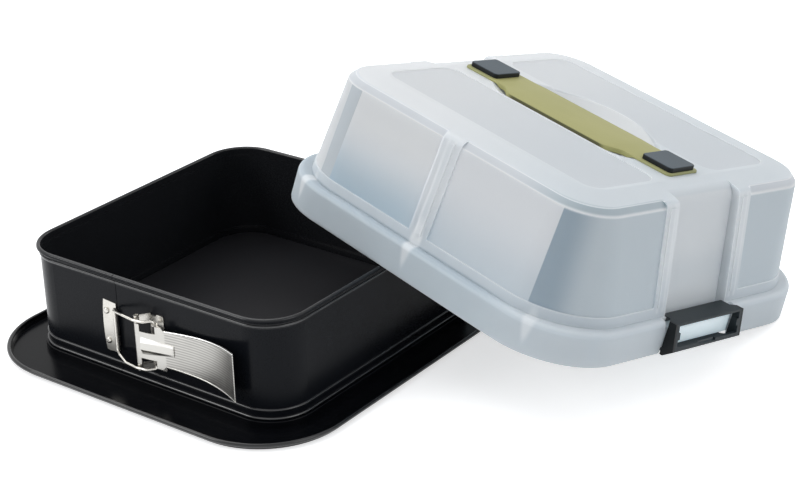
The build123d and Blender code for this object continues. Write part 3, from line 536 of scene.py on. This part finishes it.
def panels_painted_light_and_shade(finish, x, y, z, window, tone):
    """Painted light and shade on the panels: flat panels pale above and bluer below, and painted
    shade on the panels at the corners.
    """
    panel = z.band(panel_low, panel_high, 0.3 * MM) * window
    # painted light on the panels above, painted shade below
    rightwards = x.rise(-30 * MM, 30 * MM)
    painted_light_above = finish.blend(rightwards, (0.88, 0.925, 0.98), (0.80, 0.84, 0.90))
    painted_shade_below = finish.blend(rightwards, (0.42, 0.53, 0.62), (0.56, 0.63, 0.69))
    lowness = z.fall(panel_low, 86 * MM)
    tone = finish.blend(panel, tone, finish.blend(lowness, painted_light_above, painted_shade_below))
    # painted shade on the right corners' panels, paler again past their middle
    past_middle = (abs(x) - abs(y)).rise(-20 * MM, 14 * MM)
    corner_painted_shade = finish.blend(past_middle, (0.30, 0.37, 0.43), (0.52, 0.585, 0.63))
    tone = finish.blend(panel * x.step(corner_start, 0.3 * MM), tone, corner_painted_shade)
    # the left corners: a strip of painted shade, then painted light
    strip_low, strip_high = left_strip
    leftwards = -x - strip_lean * (panel_high - z)
    tone = finish.blend(panel * leftwards.band(strip_low, strip_high, 0.4 * MM), tone,
                        (0.52, 0.57, 0.61))
    return finish.blend(panel * leftwards.step(strip_high, 0.4 * MM), tone, (0.72, 0.75, 0.77))


def band_painted_shade(finish, x, y, z, window, tone):
    """Painted shade on the sloped band above the panels, darker towards the right."""
    band = z.band(panel_high, band_top, 0.2 * MM) * window
    # painted shade, darker towards the right corner
    band_painted_shade_tone = finish.blend((x - y * 0.3).rise(90 * MM, 150 * MM), (0.66, 0.70, 0.75),
                             (0.42, 0.49, 0.53))
    return finish.blend(band, tone, band_painted_shade_tone)


def fields_painted_shade(finish, x, crown, field, tone):
    """Painted shade on the crown's two shallow fields, darker towards the right."""
    # painted shade on the fields, darker towards the right
    field_painted_shade = finish.blend(x.rise(-90 * MM, 60 * MM), (0.68, 0.71, 0.735),
                              (0.57, 0.61, 0.65))
    return finish.blend(0.8 * crown * field.fall(-1.5 * MM, 0.5 * MM), tone, field_painted_shade)


def well_painted_light(finish, x, y, z, tone):
    """Painted light in the finger well, standing in for light through the thin wall under it."""
    straight, front_reach, slant = well_front
    back_reach, bow = well_back
    front_gap = y + front_reach - slant * (abs(x) - straight).at_least(0)
    back_gap = back_reach - bow * x * x - y
    within = front_gap.at_most(back_gap).rise(-1 * MM, 0)
    well = z.band(well_bottom, strap_seat - 0.4 * MM, 0.3 * MM) * within
    # painted light: the well paler than the hood around it
    return finish.blend(well, tone, (0.84, 0.875, 0.89))


def painted_edge_highlights(finish, x, y, z, window, crown, field, tone):
    """Painted highlights along the beads of the ribs and along moulded edges where they catch the
    light.
    """
    beads = abs(x).line(rib_bead_half, rib_bead_width).at_least(
        abs(abs(y) - bay_rib_middle).line(rib_bead_half, rib_bead_width))
    beads = beads * z.band(panel_low - 4 * MM, panel_high + 2 * MM, 1 * MM)
    widening = edge_line * (1.6 + 1.6 * x.rise(80 * MM, 110 * MM))
    edges = (0.55 * z.line(panel_low, edge_line) + z.line(panel_high, widening)
             + z.line(band_top - edge_line, edge_line)) * window
    field_edge = crown * field.line(0, edge_line)
    edges = edges.at_most(1).at_least(0.35 * beads).at_least(0.6 * field_edge)
    # painted highlights along the beads and moulded edges
    return finish.blend(0.7 * edges, tone, (0.90, 0.92, 0.93))


def frosted_plastic():
    """Frosted translucent plastic. Its tints are painted light and shade standing in for the
    light that passes through it: bluer and darker where its wall is thin.
    """
    finish = surface("frosted_plastic", Subsurface_Weight=1.0, Subsurface_Scale=7 * MM,
                     Subsurface_Radius=(1.0, 1.0, 1.0), Specular_IOR_Level=0.3,
                     Emission_Strength=1.0)
    place = finish.place()
    x, y, z = finish.along_hood(place)
    cloud = finish.noise(place, 14, 2)
    grain = finish.noise(place, 2600, 2)
    bay = abs(y).fall(bay_half, bay_half + 1 * MM) * abs(x).rise(*bay_start)
    window = abs(x).step(panel_start_x, 0.3 * MM) * abs(y).step(panel_start_y, 0.3 * MM)
    crown = z.step(crown_start, 0.5 * MM)
    field = finish.outside(x, abs(y) - field_middle, crown_field)
    tone = painted_light_on_walls_and_crown(finish, x, y, z)
    tone = skirt_painted_light_and_shade(finish, x, y, z, bay, tone)
    tone = panels_painted_light_and_shade(finish, x, y, z, window, tone)
    tone = band_painted_shade(finish, x, y, z, window, tone)
    tone = fields_painted_shade(finish, x, crown, field, tone)
    tone = well_painted_light(finish, x, y, z, tone)
    tone = painted_edge_highlights(finish, x, y, z, window, crown, field, tone)
    # painted light on the walls of the clip bays, and a painted glow on the wall a clip's window
    # shows, standing in for light from inside the hood
    tone = finish.blend(bay * z.fall(panel_low, 62 * MM), tone, (0.70, 0.745, 0.775))
    painted_glow_behind_clip = z.fall(skirt_top - 8 * MM, skirt_top - 5 * MM) * bay
    tone = finish.blend(painted_glow_behind_clip, tone, (0.90, 0.93, 0.95))
    # painted glow of the wall behind a clip's window
    finish.glow(finish.blend(painted_glow_behind_clip, black, (0.20, 0.27, 0.30)))
    finish.colour(finish.blend(0.10 * cloud, tone, (0.58, 0.64, 0.68)))
    finish.roughness(0.50 + 0.10 * cloud)
    finish.relief(grain, 0.012 * MM)
    return finish.block


# ---- strap, caps and clips ----------------------------------------------------------

def strap_plastic():
    """Soft matt olive plastic, with painted shade on the lips turned down along the grip and
    beside the caps.
    """
    finish = surface("strap_plastic", Specular_IOR_Level=0.35)
    place = finish.place()
    x, _, z = finish.along_hood(place)
    cloud = finish.noise(place, 30, 3)
    grain = finish.noise(place, 3000, 2)
    tone = finish.blend(cloud, (0.345, 0.335, 0.130), (0.395, 0.38, 0.155))
    # painted shade on the lips along the grip
    painted_lip_shade = (z.fall(strap_top - 0.9 * MM, strap_top - 0.5 * MM)
           * abs(x).fall(grip_half - 4 * MM, grip_half + 4 * MM))
    tone = finish.blend(0.85 * painted_lip_shade, tone, (0.045, 0.045, 0.018))
    # painted shade on the strap beside the caps
    cap_start = cap_middle - cap_plan[0]
    painted_shade_beside_caps = abs(x).rise(cap_start - 2 * MM, cap_middle - 6 * MM)
    finish.colour(finish.blend(0.5 * painted_shade_beside_caps, tone, (0.27, 0.285, 0.15)))
    finish.roughness(0.48 + 0.08 * grain)
    finish.relief(grain, 0.02 * MM)
    return finish.block


def slate_plastic(name, tone, rough, painted_shade_sides):
    """Satin dark plastic with a fine moulded grain, and painted shade, near black, on its shaded
    sides.
    """
    finish = surface(name, Specular_IOR_Level=0.22)
    place = finish.place()
    x, y, _ = finish.along_hood(place)
    cloud = finish.noise(place, 40, 2)
    grain = finish.noise(place, 2200, 2)
    tone = finish.blend(cloud, shade(tone, 0.85), shade(tone, 1.15))
    # painted shade, near black, on the sides that face away from the light
    finish.colour(finish.blend(painted_shade_sides(finish, x, y), tone, (0.006, 0.008, 0.009)))
    finish.roughness(rough + 0.10 * grain)
    finish.relief(grain, 0.025 * MM)
    return finish.block


def cap_painted_shade(finish, x, y):
    # painted shade on the caps' sides
    return finish.outside(abs(x) - cap_middle, y, cap_plan).rise(-0.5 * MM, -0.1 * MM)


def clip_ends_painted_shade(finish, x, y):
    # painted shade on the clips' end walls
    return abs(y).step(clip_side, 0.3 * MM)


# ---- every piece gets its finish ----------------------------------------------------

def dress(material, *names):
    """Gives CAD nodes a finish."""
    for name in names:
        slots = frame["nodes"][name].data.materials
        slots.clear()
        slots.append(material)


dress(tray_coating(), "base_tray")
dress(ring_coating(), "ring_wall")
dress(bright_plating("plate_plating", 0.20), "catch_plate", "lever_bracket")
dress(bright_plating("wire_plating", 0.12), "catch_plate_rivets", "lever_bracket_rivets",
      "lever_pivot_pin", "wire_bail")
dress(lever_plating(), "clasp_lever")
dress(frosted_plastic(), "hood_shell")
carrying_strap().data.materials.append(strap_plastic())
dress(slate_plastic("cap_plastic", (0.048, 0.070, 0.088), 0.36, cap_painted_shade), "handle_cap_left",
      "handle_cap_right")
dress(slate_plastic("clip_plastic", (0.018, 0.025, 0.029), 0.40, clip_ends_painted_shade), "side_clip_left",
      "side_clip_right")

# ---- floor, light and camera --------------------------------------------------------

floor_size = 30
floor_tone = (0.90, 0.90, 0.90)
floor_glow = 0.60               # of the floor where it is plainly seen
sky_tone = (0.93, 0.96, 1.0)
sky_strength = 0.55
camera_spot = Vector((0.87441, -0.97068, 0.66203))
camera_right = Vector((0.80447, 0.59346, -0.02517))
camera_up = Vector((-0.23049, 0.35094, 0.90759))
camera_lens = 86.5              # in millimetres, as the sensor's width
sensor_width = 36


def pale_floor():
    """White floor that keeps the object's shadow."""
    finish = surface("floor", Roughness=1.0, Specular_IOR_Level=0.0)
    finish.colour(floor_tone)
    finish.glow(white)
    finish.plug(finish.shader.inputs["Emission Strength"], floor_glow * finish.plainly_seen())
    bpy.ops.mesh.primitive_plane_add(size=floor_size)
    floor = bpy.context.object
    floor.name = "floor"
    floor.data.materials.append(finish.block)


def studio_world():
    """Soft sky light; the camera and mirrors see plain white."""
    world = bpy.data.worlds.new("studio")
    sky = Finish(world, "Background", Color=sky_tone, Strength=sky_strength)
    plain = sky.node("ShaderNodeBackground", {}, white, 1.0)
    both = sky.node("ShaderNodeMixShader", {}, sky.plainly_seen(),
                    sky.shader.outputs["Background"], plain)
    sky.plug(sky.tree.nodes["World Output"].inputs["Surface"], both)
    bpy.context.scene.world = world


def soft_box(name, spot, aim, width, height, watts):
    """A rectangular light at a spot, turned towards a point."""
    light = bpy.data.lights.new(name, "AREA")
    light.shape = "RECTANGLE"
    light.size = width
    light.size_y = height
    light.energy = watts
    lamp = bpy.data.objects.new(name, light)
    lamp.location = spot
    lamp.rotation_euler = (Vector(aim) - Vector(spot)).to_track_quat("-Z", "Y").to_euler()
    bpy.context.collection.objects.link(lamp)


def place_camera():
    """The camera at its spot, turned to its right and up directions."""
    lens = bpy.data.cameras.new("camera")
    lens.lens = camera_lens
    lens.sensor_width = sensor_width
    camera = bpy.data.objects.new("camera", lens)
    axes = (camera_right, camera_up, camera_right.cross(camera_up))
    camera.matrix_world = Matrix.Translation(camera_spot) @ Matrix(axes).transposed().to_4x4()
    bpy.context.collection.objects.link(camera)
    bpy.context.scene.camera = camera


place_camera()
pale_floor()
studio_world()
soft_box("top_light", (-0.7, 0.2, 1.7), (0.1, 0.1, 0.0), 1.6, 1.6, 15)
soft_box("front_light", (-1.2, -1.6, 1.2), (0.0, 0.0, 0.05), 1.0, 1.0, 12)
soft_box("side_light", (1.9, -0.2, 1.0), (0.1, 0.1, 0.05), 1.0, 1.0, 5)
soft_box("back_light", (0.9, 1.8, 1.0), (0.1, 0.1, 0.05), 1.2, 0.8, 5)
bpy.context.scene.view_settings.view_transform = "Standard"
